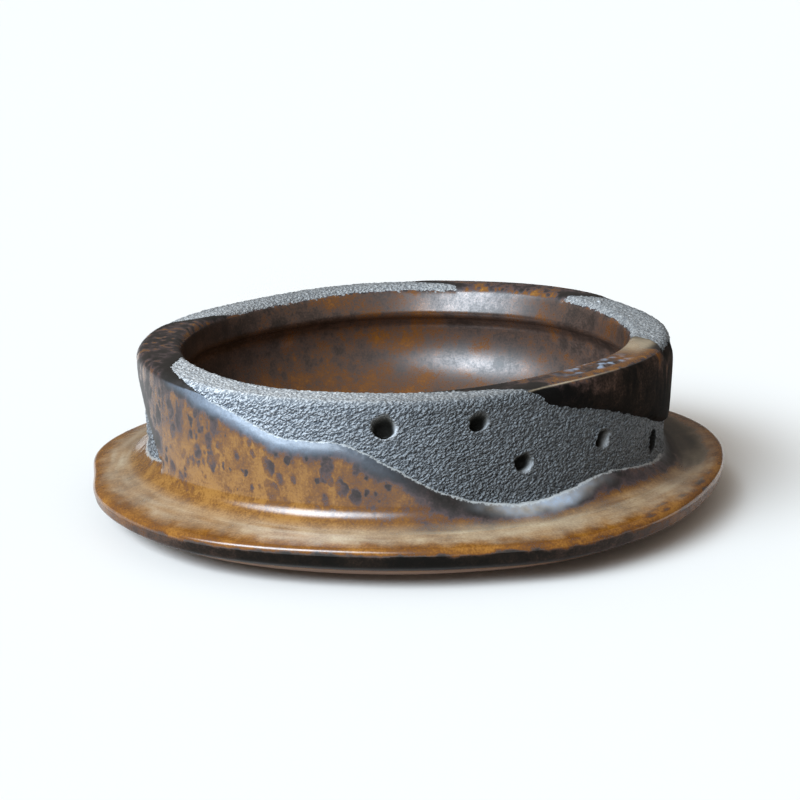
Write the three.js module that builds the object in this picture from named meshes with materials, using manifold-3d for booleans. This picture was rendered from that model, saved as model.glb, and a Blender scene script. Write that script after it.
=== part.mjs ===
// Round bonsai pot in stoneware: a thick wall ring on a slab with a wide brim, torn bare clay panels,
// three feet, and a net with its wire clip over the drain hole. Millimetres, +Z up, the front faces -Y.
import * as THREE from "three";
import { mergeVertices } from "three/addons/utils/BufferGeometryUtils.js";
import Module from "manifold-3d";

// Slab, brim and feet
const footHeight = 4;
const footInset = 5;
const footWidth = 12;
const footSweep = 52;
const slabThickness = 9;
const brimWidth = 17.2;
const brimSquareness = 1.2;
const brimRise = 2;
const lipHeight = 5;
const lipRound = 2;
const undercutWidth = 4.5;

// Wall ring and rim
const wallFootRadius = 79;
const wallHeight = 36;
const wallFlare = 1.8;
const footFillet = 4.5;
const footLedge = 5.3;
const rimWidth = 13.6;
const rimOuterRound = 3;
const rimInnerRound = 2.6;
const lipDepth = 8;
const lipUndercut = 3.8;
const bowlRadius = 20;
const bowlEdge = 1;

// Torn clay panels and poked pits
const tornRecess = 1.2;
const panelThickness = 4;
const pitDiameter = 5.8;
const pitDepth = 2.6;
const coreDepth = 8;
const pocketReach = 2;

// Drain hole, wire holes, net and clip
const drainDiameter = 22;
const wireHoleDiameter = 6;
const wireHoleSpread = 76;
const netCells = 7;
const netPitch = 4;
const netBar = 1.2;
const netThickness = 1.2;
const clipWire = 1.4;
const clipCell = 2;
const clipTail = 9;
const clipBend = 1.6;

// Clearances
const slipGap = 0.3;
const netGap = 0.3;

// Derived heights and radii
const floorTop = footHeight + slabThickness;
const shoulderTop = floorTop + brimRise;
const rimTop = shoulderTop + wallHeight;
const footOuterRadius = wallFootRadius - footInset;
const rimRadius = wallFootRadius + wallFlare;
const mouthRadius = rimRadius - rimWidth;
const insideRadius = mouthRadius + lipUndercut;
const seatRadius = wallFootRadius + footLedge;
const brimRadius = wallFootRadius + brimWidth;
const drainRadius = drainDiameter / 2;
const pocketDepth = tornRecess + panelThickness + slipGap;

const roundSteps = 72;
const degree = Math.PI / 180;
const wasm = await Module();
wasm.setup();

function asSolid(geometry) {
  const bare = geometry.clone();
  bare.deleteAttribute("normal");
  bare.deleteAttribute("uv");
  const merged = mergeVertices(bare, 1e-4);
  const mesh = new wasm.Mesh({
    numProp: 3,
    vertProperties: new Float32Array(merged.attributes.position.array),
    triVerts: new Uint32Array(merged.index.array),
  });
  return new wasm.Manifold(mesh);
}

function asGeometry(solid) {
  const mesh = solid.getMesh();
  const geometry = new THREE.BufferGeometry();
  geometry.setAttribute("position", new THREE.BufferAttribute(new Float32Array(mesh.vertProperties), 3));
  geometry.setIndex(new THREE.BufferAttribute(new Uint32Array(mesh.triVerts), 1));
  geometry.computeVertexNormals();
  return geometry;
}

function moveVertices(geometry, place) {
  const position = geometry.attributes.position;
  const point = new THREE.Vector3();
  for (let i = 0; i < position.count; i += 1) {
    point.fromBufferAttribute(position, i);
    place(point);
    position.setXYZ(i, point.x, point.y, point.z);
  }
  return geometry;
}

// Points of an arc in the section plane, angles in degrees
function arc(radius, height, round, from, to, steps) {
  const points = [];
  for (let i = 0; i <= steps; i += 1) {
    const angle = (from + ((to - from) * i) / steps) * degree;
    points.push(new THREE.Vector2(radius + round * Math.cos(angle), height + round * Math.sin(angle)));
  }
  return points;
}

// A closed section turned round the Z axis
function turned(section) {
  const geometry = new THREE.LatheGeometry([...section, section[0].clone()], roundSteps);
  return geometry.rotateX(Math.PI / 2);
}

// Smooth curve through points of angle and value
function curveAt(points, angle) {
  const last = points.length - 1;
  let i = 0;
  while (i < last - 1 && angle > points[i + 1][0]) i += 1;
  const slope = (k) => {
    const a = points[Math.max(k - 1, 0)];
    const b = points[Math.min(k + 1, last)];
    return (b[1] - a[1]) / (b[0] - a[0]);
  };
  const span = points[i + 1][0] - points[i][0];
  const t = Math.min(Math.max((angle - points[i][0]) / span, 0), 1);
  const start = (1 + 2 * t) * (1 - t) * (1 - t) * points[i][1] + t * (1 - t) * (1 - t) * span * slope(i);
  const end = t * t * (3 - 2 * t) * points[i + 1][1] - t * t * (1 - t) * span * slope(i + 1);
  return start + end;
}

// Skin path: up the outer wall, round the rim edge and across the rim top to the mouth
const wallLean = wallFlare / wallHeight;
const edgeRadius = rimRadius - (1 + wallLean) * rimOuterRound;
const edgeHeight = rimTop - rimOuterRound;
const pathEnd = wallHeight + rimWidth;
function onSkin(run) {
  const past = run - wallHeight;
  if (past <= -rimOuterRound) return [wallFootRadius + wallLean * run, shoulderTop + run];
  if (past >= rimOuterRound) {
    const share = (past - rimOuterRound) / (rimWidth - rimOuterRound);
    return [edgeRadius + share * (mouthRadius - edgeRadius), rimTop];
  }
  const turn = ((past / rimOuterRound + 1) / 2) * 90 * degree;
  return [edgeRadius + rimOuterRound * Math.cos(turn), edgeHeight + rimOuterRound * Math.sin(turn)];
}

// The same run on a path deep inside the wall; straight lines from skin to core set the depth
function onCore(run) {
  const past = run - wallHeight;
  const inner = rimRadius - coreDepth;
  if (past >= 0) return [inner - (past / rimWidth) * (inner - mouthRadius), rimTop - coreDepth];
  const height = (run / wallHeight) * (wallHeight - coreDepth);
  return [inner - wallLean * (wallHeight - run), shoulderTop + height];
}

function skinPoint(run, depth) {
  const [skinRadius, skinHeight] = onSkin(run);
  const [coreRadius, coreHeight] = onCore(run);
  const share = depth / coreDepth;
  return [skinRadius + share * (coreRadius - skinRadius), skinHeight + share * (coreHeight - skinHeight)];
}

// Shares up to 1 run up the wall, from 1 to 2 across the rim
function runOf(share) {
  return share <= 1 ? share * wallHeight : wallHeight + (share - 1) * rimWidth;
}

// A slab bent over the wall and rim between two outlines; grow widens it for its pocket
function bentSlab(panel, outer, inner, grow) {
  const rows = panel.rows;
  const from = panel.low[0][0];
  const sweep = panel.low[panel.low.length - 1][0] - from;
  const endGrow = grow / rimRadius;
  const box = new THREE.BoxGeometry(1, 1, 1, panel.columns, rows, 1);
  return moveVertices(box, (point) => {
    const across = point.x + 0.5;
    const angle = from + sweep * across;
    const row = Math.round((point.y + 0.5) * rows);
    const column = Math.round(across * panel.columns);
    const low = runOf(curveAt(panel.low, angle));
    const high = Math.min(runOf(curveAt(panel.high, angle)), pathEnd);
    let run = low + ((high - low) * row) / rows;
    if (row === 0) run -= grow;
    if (row === rows) run += grow;
    let turn = angle * degree;
    if (column === 0) turn -= endGrow;
    if (column === panel.columns) turn += endGrow;
    const [radius, height] = skinPoint(run, point.z > 0 ? outer : inner);
    point.set(radius * Math.cos(turn), radius * Math.sin(turn), height);
  });
}

function pit(angle, share) {
  const ball = new THREE.SphereGeometry(pitDiameter / 2, 12, 8);
  const [radius, height] = skinPoint(runOf(share), tornRecess + pitDepth - pitDiameter / 2);
  ball.translate(radius * Math.cos(angle * degree), radius * Math.sin(angle * degree), height);
  return asSolid(ball);
}

const panels = [
  {
    name: "front_torn_panel",
    columns: 44,
    rows: 10,
    low: [
      [197, 1.9], [207, 1.35], [219, 1], [233, 0.84], [244, 0.69], [257, 0.665], [266, 0.49],
      [278, 0.23], [292, 0.1], [304, 0.125], [316, 0.19], [333, 0.11], [352, 0.1], [374, 0.15],
    ],
    high: [
      [197, 2], [262, 2], [280, 1.75], [290, 1.5], [297, 1], [303, 0.86], [313, 0.77], [326, 0.61],
      [345, 0.37], [374, 0.22],
    ],
    pits: [[265.3, 0.82], [284.5, 0.83], [294.3, 0.44], [314.8, 0.49], [337, 0.28]],
  },
  {
    name: "right_torn_panel",
    columns: 30,
    rows: 10,
    low: [[-19, 1], [-10, 0.98], [-2, 0.8], [8, 0.6], [18, 0.62], [27, 0.9], [34, 1.2], [42, 1.88]],
    high: [[-19, 1.12], [-13, 1.5], [-7, 2], [0, 2], [42, 2]],
    pits: [[10, 0.8]],
  },
  {
    name: "back_torn_panel",
    columns: 36,
    rows: 10,
    low: [
      [76, 1.9], [84, 1.4], [92, 1], [106, 0.8], [122, 0.62], [140, 0.4], [158, 0.22], [176, 0.14],
      [192, 0.12], [204, 0.19],
    ],
    high: [[76, 2], [140, 2], [152, 1.7], [161, 1.1], [170, 0.9], [183, 0.78], [193, 0.66], [204, 0.27]],
    pits: [[116, 0.86], [136, 0.78], [150, 0.5], [168, 0.62], [186, 0.36]],
  },
];

// Wall ring section: flared foot, wall, rounded rim, in-turned lip and bowl
function wallSection() {
  const seat = floorTop + slipGap;
  const bowlHeight = seat + bowlRadius;
  const bowlStop = Math.acos(1 - bowlEdge / bowlRadius) / degree;
  const mouthFoot = rimTop - lipDepth + rimInnerRound;
  return [
    new THREE.Vector2(seatRadius - slipGap, seat),
    ...arc(wallFootRadius + footFillet, shoulderTop + footFillet, footFillet, 270, 180, 5),
    ...arc(edgeRadius, edgeHeight, rimOuterRound, 0, 90, 4),
    ...arc(mouthRadius + rimInnerRound, rimTop - rimInnerRound, rimInnerRound, 90, 180, 3),
    ...arc(mouthRadius + rimInnerRound, mouthFoot, rimInnerRound, 180, 250, 2),
    ...arc(insideRadius - bowlRadius, bowlHeight, bowlRadius, 0, bowlStop - 90, 7),
    new THREE.Vector2(insideRadius - bowlRadius + bowlRadius * Math.sin(bowlStop * degree), seat),
  ];
}

function wallRing() {
  let solid = asSolid(turned(wallSection()));
  for (const panel of panels) solid = solid.subtract(asSolid(bentSlab(panel, -pocketReach, pocketDepth, slipGap)));
  return asGeometry(solid);
}

function tornPanel(panel) {
  let solid = asSolid(bentSlab(panel, tornRecess, tornRecess + panelThickness, 0));
  for (const [angle, share] of panel.pits) solid = solid.subtract(pit(angle, share));
  return asGeometry(solid);
}

// Slab section: drain hole, flat underside, undercut lip and the brim up to the shoulder
function baseSlab() {
  const lipTop = floorTop - lipRound;
  const section = [
    new THREE.Vector2(drainRadius, footHeight),
    new THREE.Vector2(brimRadius - undercutWidth, footHeight),
    new THREE.Vector2(brimRadius, floorTop - lipHeight),
    ...arc(brimRadius - lipRound, lipTop, lipRound, 0, 80, 4),
    new THREE.Vector2(seatRadius, shoulderTop),
    new THREE.Vector2(seatRadius, floorTop),
    new THREE.Vector2(drainRadius, floorTop),
  ];
  const slab = moveVertices(turned(section), (point) => {
    const radius = Math.hypot(point.x, point.y);
    const share = Math.max(radius - seatRadius, 0) / (brimRadius - seatRadius);
    const grown = radius - brimSquareness * share * Math.cos(4 * Math.atan2(point.y, point.x));
    point.x *= grown / radius;
    point.y *= grown / radius;
  });
  let solid = asSolid(slab);
  for (const side of [-1, 1]) {
    const hole = new THREE.CylinderGeometry(wireHoleDiameter / 2, wireHoleDiameter / 2, 3 * slabThickness, 20);
    hole.rotateX(Math.PI / 2);
    hole.translate((side * wireHoleSpread) / 2, 0, floorTop);
    solid = solid.subtract(asSolid(hole));
  }
  return asGeometry(solid);
}

// A low arc-shaped foot, its middle at the given angle
function foot(angle) {
  const half = (footSweep / 2) * degree;
  const middle = angle * degree;
  const outline = new THREE.Shape();
  outline.absarc(0, 0, footOuterRadius, middle - half, middle + half, false);
  outline.absarc(0, 0, footOuterRadius - footWidth, middle + half, middle - half, true);
  return new THREE.ExtrudeGeometry(outline, { depth: footHeight - slipGap, bevelEnabled: false, curveSegments: 12 });
}

// Square plastic net lying on the floor over the drain hole
const netBottom = floorTop + netGap;
function drainNet() {
  const across = netCells * netPitch + netBar;
  let solid = null;
  for (let i = 0; i <= netCells; i += 1) {
    const offset = (i - netCells / 2) * netPitch;
    const bar = new THREE.BoxGeometry(across, netBar, netThickness);
    bar.translate(0, offset, netBottom + netThickness / 2);
    solid = solid ? solid.add(asSolid(bar)) : asSolid(bar);
    solid = solid.add(asSolid(bar.clone().rotateZ(Math.PI / 2)));
  }
  return asGeometry(solid);
}

// Wire staple: across the net, down through two cells and bent outwards under the slab
function screenClip() {
  const legs = clipCell * netPitch;
  const over = netBottom + netThickness + netGap + clipWire / 2;
  const under = footHeight - netGap - clipWire / 2;
  const path = new THREE.CurvePath();
  const corners = [
    [legs + clipTail, under], [legs, under], [legs, over], [-legs, over], [-legs, under], [-legs - clipTail, under],
  ].map(([x, z]) => new THREE.Vector3(x, 0, z));
  let from = corners[0];
  for (let i = 1; i < corners.length - 1; i += 1) {
    const before = corners[i].clone().sub(from).setLength(clipBend);
    const after = corners[i + 1].clone().sub(corners[i]).setLength(clipBend);
    const entry = corners[i].clone().sub(before);
    const exit = corners[i].clone().add(after);
    path.add(new THREE.LineCurve3(from, entry));
    path.add(new THREE.QuadraticBezierCurve3(entry, corners[i], exit));
    from = exit;
  }
  path.add(new THREE.LineCurve3(from, corners[corners.length - 1]));
  const round = new THREE.Shape();
  round.absarc(0, 0, clipWire / 2, 0, 2 * Math.PI, false);
  return new THREE.ExtrudeGeometry(round, { steps: 52, curveSegments: 4, bevelEnabled: false, extrudePath: path });
}

const glaze = { color: 0x7a4f1e, roughness: 0.25 };
const tornClay = { color: 0x3a3836, roughness: 0.9 };
const footClay = { color: 0x8a6a58, roughness: 0.85 };

const pot = new THREE.Group();
pot.name = "round_bonsai_pot";
function add(name, geometry, finish) {
  const mesh = new THREE.Mesh(geometry, new THREE.MeshStandardMaterial(finish));
  mesh.name = name;
  pot.add(mesh);
}

add("wall_ring", wallRing(), glaze);
add("base_slab", baseSlab(), glaze);
for (const panel of panels) add(panel.name, tornPanel(panel), tornClay);
add("foot_front", foot(270), footClay);
add("foot_right", foot(30), footClay);
add("foot_left", foot(150), footClay);
add("drain_screen", drainNet(), { color: 0x20221f, roughness: 0.6 });
add("screen_clip", screenClip(), { color: 0xb8bcc0, roughness: 0.35, metalness: 1 });

export default pot;
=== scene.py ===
import bpy
import math
import numpy as np
from mathutils import Matrix, Vector, noise


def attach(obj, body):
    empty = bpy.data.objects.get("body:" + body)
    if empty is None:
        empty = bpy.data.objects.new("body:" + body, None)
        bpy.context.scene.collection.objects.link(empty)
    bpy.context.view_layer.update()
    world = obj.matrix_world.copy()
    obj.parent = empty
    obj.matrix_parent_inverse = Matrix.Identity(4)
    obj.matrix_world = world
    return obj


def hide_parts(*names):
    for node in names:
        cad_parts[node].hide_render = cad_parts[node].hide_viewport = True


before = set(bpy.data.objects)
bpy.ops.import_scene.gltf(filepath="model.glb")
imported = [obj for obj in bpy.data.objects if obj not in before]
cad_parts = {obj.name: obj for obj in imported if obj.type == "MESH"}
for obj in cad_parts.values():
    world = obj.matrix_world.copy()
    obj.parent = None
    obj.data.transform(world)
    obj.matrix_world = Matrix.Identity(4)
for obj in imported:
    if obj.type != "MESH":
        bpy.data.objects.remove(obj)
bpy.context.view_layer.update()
mm = 0.001
columns = 440      # faces round the pot, the same on wall and brim so that the two meet point to point
weld = 0.002 * mm  # points closer than this are one
smoothUnder = math.radians(48)     # faces that meet at less than this are shaded smooth
print("frame loaded:", len(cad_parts), "nodes")


# small tools used by every piece

def leaveEdit():
    bpy.ops.object.mode_set(mode="OBJECT")


def clearSelection():
    if bpy.context.object and bpy.context.object.mode != "OBJECT":
        leaveEdit()
    bpy.ops.object.select_all(action="DESELECT")


def pickPiece(piece):
    clearSelection()
    piece.select_set(True)
    bpy.context.view_layer.objects.active = piece


def editAll(piece, mode="VERT"):
    pickPiece(piece)
    bpy.ops.object.mode_set(mode="EDIT")
    bpy.ops.mesh.select_mode(type=mode)
    bpy.ops.mesh.select_all(action="SELECT")


def pickFaces(piece, wanted):
    # ends in edit mode, in face select, with only the wanted faces picked
    editAll(piece, "FACE")
    bpy.ops.mesh.select_all(action="DESELECT")
    leaveEdit()
    piece.data.polygons.foreach_set("select", np.asarray(wanted, bool))
    bpy.ops.object.mode_set(mode="EDIT")


def applyModifier(piece, name, kind, **settings):
    modifier = piece.modifiers.new(name, kind)
    for key, value in settings.items():
        setattr(modifier, key, value)
    bpy.context.view_layer.objects.active = piece
    bpy.ops.object.modifier_apply(modifier=name)


def drawLine(name, start, strokes):
    # a point in the XZ plane, pulled along lines and swept round arcs, counter-clockwise positive
    clearSelection()
    bpy.ops.mesh.primitive_plane_add(size=mm)
    piece = bpy.context.object
    piece.name = piece.data.name = name
    editAll(piece)
    bpy.ops.mesh.merge(type="CENTER")
    bpy.ops.transform.translate(value=(start[0] * mm, 0, start[1] * mm))
    at = np.array(start, float)
    for kind, x, z, *how in strokes:
        if kind == "line":
            steps = how[0]
            pull = (np.array((x, z)) - at) / steps * mm
            for i in range(steps):
                bpy.ops.mesh.extrude_region_move(TRANSFORM_OT_translate={"value": (pull[0], 0, pull[1])})
            at = np.array((x, z), float)
        else:
            sweep, steps = math.radians(how[0]), how[1]
            bpy.ops.mesh.spin(steps=steps, angle=sweep, center=(x * mm, 0, z * mm), axis=(0, 1, 0))
            arm = at - (x, z)
            at = np.array((x + arm[0] * math.cos(sweep) - arm[1] * math.sin(sweep),
                           z + arm[0] * math.sin(sweep) + arm[1] * math.cos(sweep)))
    leaveEdit()
    return piece


def turnOnWheel(piece):
    editAll(piece)
    bpy.ops.mesh.remove_doubles(threshold=weld)
    bpy.ops.mesh.spin(steps=columns, angle=2 * math.pi, center=(0, 0, 0), axis=(0, 0, 1))
    bpy.ops.mesh.select_all(action="SELECT")
    bpy.ops.mesh.remove_doubles(threshold=weld)
    bpy.ops.mesh.normals_make_consistent(inside=False)
    leaveEdit()


def pointsOf(mesh):
    points = np.empty(len(mesh.vertices) * 3)
    mesh.vertices.foreach_get("co", points)
    return points.reshape(-1, 3) / mm


def setPoints(mesh, points):
    mesh.vertices.foreach_set("co", (points * mm).ravel())
    mesh.update()


def centresOf(mesh):
    centres = np.empty(len(mesh.polygons) * 3)
    mesh.polygons.foreach_get("center", centres)
    return centres.reshape(-1, 3) / mm


def paint(mesh, name, values):
    layer = mesh.attributes.new(name, "FLOAT", "POINT")
    layer.data.foreach_set("value", np.asarray(values, np.float32))


def onFaces(mesh, name):
    # mean of a painted value over each face
    values = np.empty(len(mesh.vertices))
    mesh.attributes[name].data.foreach_get("value", values)
    return np.array([values[list(face.vertices)].mean() for face in mesh.polygons])


def ease(low, high, value):
    share = np.clip((value - low) / (high - low), 0, 1)
    return share * share * (3 - 2 * share)


def roughly(points, size):
    # smooth noise from -1 to 1 with lumps of that size in mm
    return np.array([noise.noise(Vector(p)) for p in points / size])


def turnOf(points):
    return np.degrees(np.arctan2(points[:, 1], points[:, 0])) % 360


def radiusOf(points):
    return np.hypot(points[:, 0], points[:, 1])


def near(turn, middle, width):
    # 1 at an angle round the pot, falling to 0 at width degrees either side
    gap = np.abs((turn - middle + 180) % 360 - 180)
    return 1 - ease(0, width, gap)


def repaint(piece, material, faces):
    # a second material on some of a piece's faces
    piece.data.materials.append(material)
    piece.data.polygons.foreach_set("material_index", np.asarray(faces, np.int32))


def settle(piece, material, node):
    pickPiece(piece)
    piece.data.materials.clear()
    piece.data.materials.append(material)
    bpy.ops.object.shade_smooth_by_angle(angle=smoothUnder)
    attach(piece, "root")
    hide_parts(node)
    print(piece.name, "done:", len(piece.data.polygons), "faces")


# hand building: the same gentle unevenness on every clay piece, so that they still meet
handWork = {"rimTilt": 1, "outOfRound": 0.3, "rimWave": 0.3, "brimWave": 0.3,
            "shoulder": 15, "wallHeight": 36, "seat": 84.3, "brimWidth": 11.9, "brimRadius": 96.2}
handMarks = {"leftFoot": (0.9, 185, 55), "lipLean": (4.2, 80, 90), "rightDent": (0.8, 22, 34),
             "rightBrim": (1.6, 12, 42), "leftBrim": (1, 165, 26), "rightHollow": (3.2, 358, 34),
             "rightRim": (0.4, 30, 30)}    # mm, then angle round the pot and reach either side in degrees
brimOutline = [(-25, 95.6), (-8, 96.6), (3, 97.6), (16, 98), (28, 97.8), (45, 97.2), (68, 95.8), (90, 95),
               (112, 95.8), (135, 97.2), (155, 97.2), (172, 98), (185, 95.8), (198, 97.3), (212, 97.6),
               (231, 98), (244, 96), (256, 94.2), (268, 93.8), (282, 94.5), (296, 97.4), (312, 97),
               (335, 95.6), (352, 96.6), (363, 97.6)]      # angle round the pot and radius of the brim


def smoothCurve(points, turns):
    # smooth curve through the points of an outline
    at, value = np.array(points, float).T
    slope = np.empty(len(at))
    slope[1:-1] = (value[2:] - value[:-2]) / (at[2:] - at[:-2])
    slope[0] = (value[1] - value[0]) / (at[1] - at[0])
    slope[-1] = (value[-1] - value[-2]) / (at[-1] - at[-2])
    i = np.clip(np.searchsorted(at, turns, side="right") - 1, 0, len(at) - 2)
    span = at[i + 1] - at[i]
    t = np.clip((turns - at[i]) / span, 0, 1)
    start = (1 + 2 * t) * (1 - t) ** 2 * value[i] + t * (1 - t) ** 2 * span * slope[i]
    return start + t * t * (3 - 2 * t) * value[i + 1] - t * t * (1 - t) * span * slope[i + 1]


def marksAt(marks, turn):
    # strength of every mark at these angles
    return {name: strength * near(turn, middle, reach) for name, (strength, middle, reach) in marks.items()}


def byHand(points):
    hand = handWork
    degrees = turnOf(points)
    turn = np.radians(degrees)
    mark = marksAt(handMarks, degrees)
    radius = radiusOf(points)
    height = points[:, 2]
    up = np.clip((height - hand["shoulder"]) / hand["wallHeight"], 0, 1)
    out = np.clip((radius - hand["seat"]) / hand["brimWidth"], 0, 1.2)
    atFoot = (1 - up) * ease(70, 78, radius) * (1 - ease(84, 92, radius))
    atLip = np.clip((height - 42.5) / 8.5, 0, 1) * (1 - ease(69, 77, radius)) * ease(60, 66, radius)
    atFillet = ease(10, 13, height) * (1 - ease(19, 28, height))
    atFillet *= ease(76, 79, radius) * (1 - ease(84, 94, radius))
    grow = hand["outOfRound"] * up * (np.cos(2 * turn + 0.6) + 0.6 * np.cos(3 * turn - 1.1))
    grow += (smoothCurve(brimOutline, degrees) - hand["brimRadius"]) * out
    grow += mark["leftFoot"] * atFoot
    grow += mark["lipLean"] * atLip        # the lip leans back on the far side
    grow -= mark["rightDent"] * up * (radius > 66)
    lift = hand["rimTilt"] * up * points[:, 0] / 80
    lift += out * (mark["rightBrim"] + mark["leftBrim"])
    lift -= mark["rightHollow"] * atFillet
    lift += hand["rimWave"] * up ** 2 * (np.cos(3 * turn + 2) + 0.7 * np.cos(7 * turn))
    lift += mark["rightRim"] * up ** 2
    lift += hand["brimWave"] * out * (np.cos(3 * turn + 0.4) + 0.5 * np.cos(5 * turn + 1.9))
    moved = points.copy()
    moved[:, :2] *= ((radius + grow) / np.maximum(radius, 1))[:, None]
    moved[:, 2] += lift
    return moved


# the torn clay: outlines as angle round the pot and share of the way up the wall (to 1) and over the rim
# (to 2), pits as angle, share and radius, the grid each sheet starts as, and how much painted shade darkens
# the left end
tornZones = {
    "front_torn_panel": {
        "low": [(197, 1.9), (207, 1.35), (219, 1), (233, 0.84), (244, 0.69), (257, 0.665), (266, 0.49),
                (278, 0.23), (292, 0.1), (304, 0.125), (316, 0.19), (333, 0.11), (352, 0.1), (374, 0.15)],
        "high": [(197, 2), (262, 2), (280, 1.75), (290, 1.5), (297, 1), (303, 0.86), (313, 0.77), (326, 0.61),
                 (345, 0.37), (374, 0.22)],
        "pits": [(265.3, 0.82, 3.5), (284.5, 0.83, 2.9), (294.3, 0.44, 2.9), (314.8, 0.49, 2.9),
                 (337, 0.28, 2.9)],
        "columns": 62, "rows": 11, "lee": 0},
    "right_torn_panel": {
        "low": [(-19, 1), (-10, 0.98), (-2, 0.8), (8, 0.6), (18, 0.62), (27, 0.9), (34, 1.2), (42, 1.88)],
        "high": [(-19, 1.12), (-13, 1.5), (-7, 2), (0, 2), (42, 2)],
        "pits": [(10, 0.8, 2.9), (31, 1.72, 0.9)],
        "columns": 22, "rows": 10, "lee": 0},
    "back_torn_panel": {
        "low": [(76, 1.9), (84, 1.4), (92, 1), (106, 0.8), (122, 0.62), (140, 0.4), (158, 0.22), (176, 0.14),
                (192, 0.12), (204, 0.19)],
        "high": [(76, 2), (140, 2), (152, 1.7), (161, 1.1), (170, 0.9), (183, 0.78), (193, 0.66),
                 (204, 0.27)],
        "pits": [(116, 0.86, 2.9), (136, 0.78, 2.9), (150, 0.5, 2.9), (168, 0.62, 2.9), (186, 0.36, 2.9)],
        "columns": 45, "rows": 11, "lee": 0.7},
}

# the skin that the torn bands lie in: wall, rounded edge, rim top, mouth edge, lip face, by length along it
skin = {"foot": 79, "lean": 0.05, "shoulder": 15, "edgeRadius": 77.65, "edgeHeight": 48, "edgeRound": 3,
        "mouthRadius": 69.8, "mouthHeight": 48.4, "mouthRound": 2.6, "coreDepth": 6.5,
        "corner": 35.36, "tornEnd": 48.6, "reach": 60}    # runs to mid edge, torn bands' end, skin's end
edgeRadius, edgeHeight, edgeRound = [skin["edge" + key] for key in ("Radius", "Height", "Round")]
mouthRadius, mouthHeight, mouthRound = [skin["mouth" + key] for key in ("Radius", "Height", "Round")]
edgeStart = edgeHeight - skin["shoulder"]
edgeEnd = edgeStart + edgeRound * math.pi / 2
mouthStart = edgeEnd + edgeRadius - mouthRadius
mouthEnd = mouthStart + mouthRound * math.pi / 2


def runOf(share):
    return np.interp(share, (0, 0.917, 1, 1.2206, 2),
                     (0, edgeStart, skin["corner"], edgeEnd, skin["tornEnd"]))


def atDepth(run, depth):
    # radius and height of a place on the skin, moved in towards the middle of the wall
    edgeTurn = np.clip((run - edgeStart) / edgeRound, 0, math.pi / 2)
    mouthTurn = np.clip((run - mouthStart) / mouthRound, 0, math.pi / 2) + math.pi / 2
    parts = [run < edgeStart, run < edgeEnd, run < mouthStart, run < mouthEnd]
    radius = np.select(parts, [skin["foot"] + skin["lean"] * run,
                               edgeRadius + edgeRound * np.cos(edgeTurn),
                               edgeRadius - (run - edgeEnd),
                               mouthRadius + mouthRound * np.cos(mouthTurn)],
                       mouthRadius - mouthRound)
    height = np.select(parts, [skin["shoulder"] + run,
                               edgeHeight + edgeRound * np.sin(edgeTurn),
                               edgeHeight + edgeRound + 0 * run,
                               mouthHeight + mouthRound * np.sin(mouthTurn)],
                       mouthHeight - (run - mouthEnd))
    corner, reach = skin["corner"], skin["reach"]
    coreRadius = np.interp(run, (0, corner, mouthStart, mouthEnd, reach), (72.5, 74.3, 73.9, 73.7, 73.7))
    coreHeight = np.interp(run, (0, corner, mouthEnd, reach), (15, 44.5, 44.5, 38))
    share = depth / skin["coreDepth"]
    return radius + share * (coreRadius - radius), height + share * (coreHeight - height)


def runFrom(radius, height):
    # how far along the skin a point of the wall ring lies; points further inside give a long run
    edge = np.arctan2(height - edgeHeight, radius - edgeRadius)
    mouth = np.arctan2(height - mouthHeight, radius - mouthRadius)
    inside = radius < mouthRadius + 3
    top = height > mouthHeight
    return np.select([(radius >= edgeRadius) & (height < edgeHeight),
                      radius >= edgeRadius,
                      top & (radius >= mouthRadius),
                      top,
                      inside],
                     [height - skin["shoulder"],
                      edgeStart + edgeRound * edge,
                      edgeEnd + edgeRadius - radius,
                      mouthStart + mouthRound * (mouth - math.pi / 2),
                      mouthEnd + mouthHeight - height], 99)


wallArm = 80  # mm, turns angles round the wall into lengths
for zone in tornZones.values():
    zone["turns"] = np.arange(zone["low"][0][0], zone["low"][-1][0] + 0.1, 0.25)
    for side in ("low", "high"):
        runs = runOf(smoothCurve(zone[side], zone["turns"]))
        zone[side + "Run"] = runs
        zone[side + "Stretch"] = np.hypot(1, np.gradient(runs, np.radians(zone["turns"]) * wallArm))


def edgesAt(zone, turn):
    # runs of the lower and upper outline at these angles, each with its stretch where it runs aslant
    keys = ("lowRun", "lowStretch", "highRun", "highStretch")
    return [np.interp(turn, zone["turns"], zone[key]) for key in keys]


def intoTorn(zone, turn, run):
    # mm inside the torn outline, negative outside, and whether the upper side is the nearer one
    middle = (zone["turns"][0] + zone["turns"][-1]) / 2
    turn = (turn - middle + 180) % 360 - 180 + middle
    low, lowStretch, high, highStretch = edgesAt(zone, turn)
    fromLow = (run - low) / lowStretch
    fromHigh = (high - run) / highStretch
    fromEnds = np.radians(np.minimum(turn - zone["turns"][0], zone["turns"][-1] - turn)) * wallArm
    return np.minimum(np.minimum(fromLow, fromHigh), fromEnds), fromHigh < fromLow


def tornEdge(points, run):
    turn = turnOf(points)
    inside = np.full(len(points), -99.0)
    upper = np.zeros(len(points), bool)
    for zone in tornZones.values():
        depth, isUpper = intoTorn(zone, turn, run)
        upper = np.where(depth > inside, isUpper, upper)
        inside = np.maximum(inside, depth)
    return inside, upper


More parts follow.
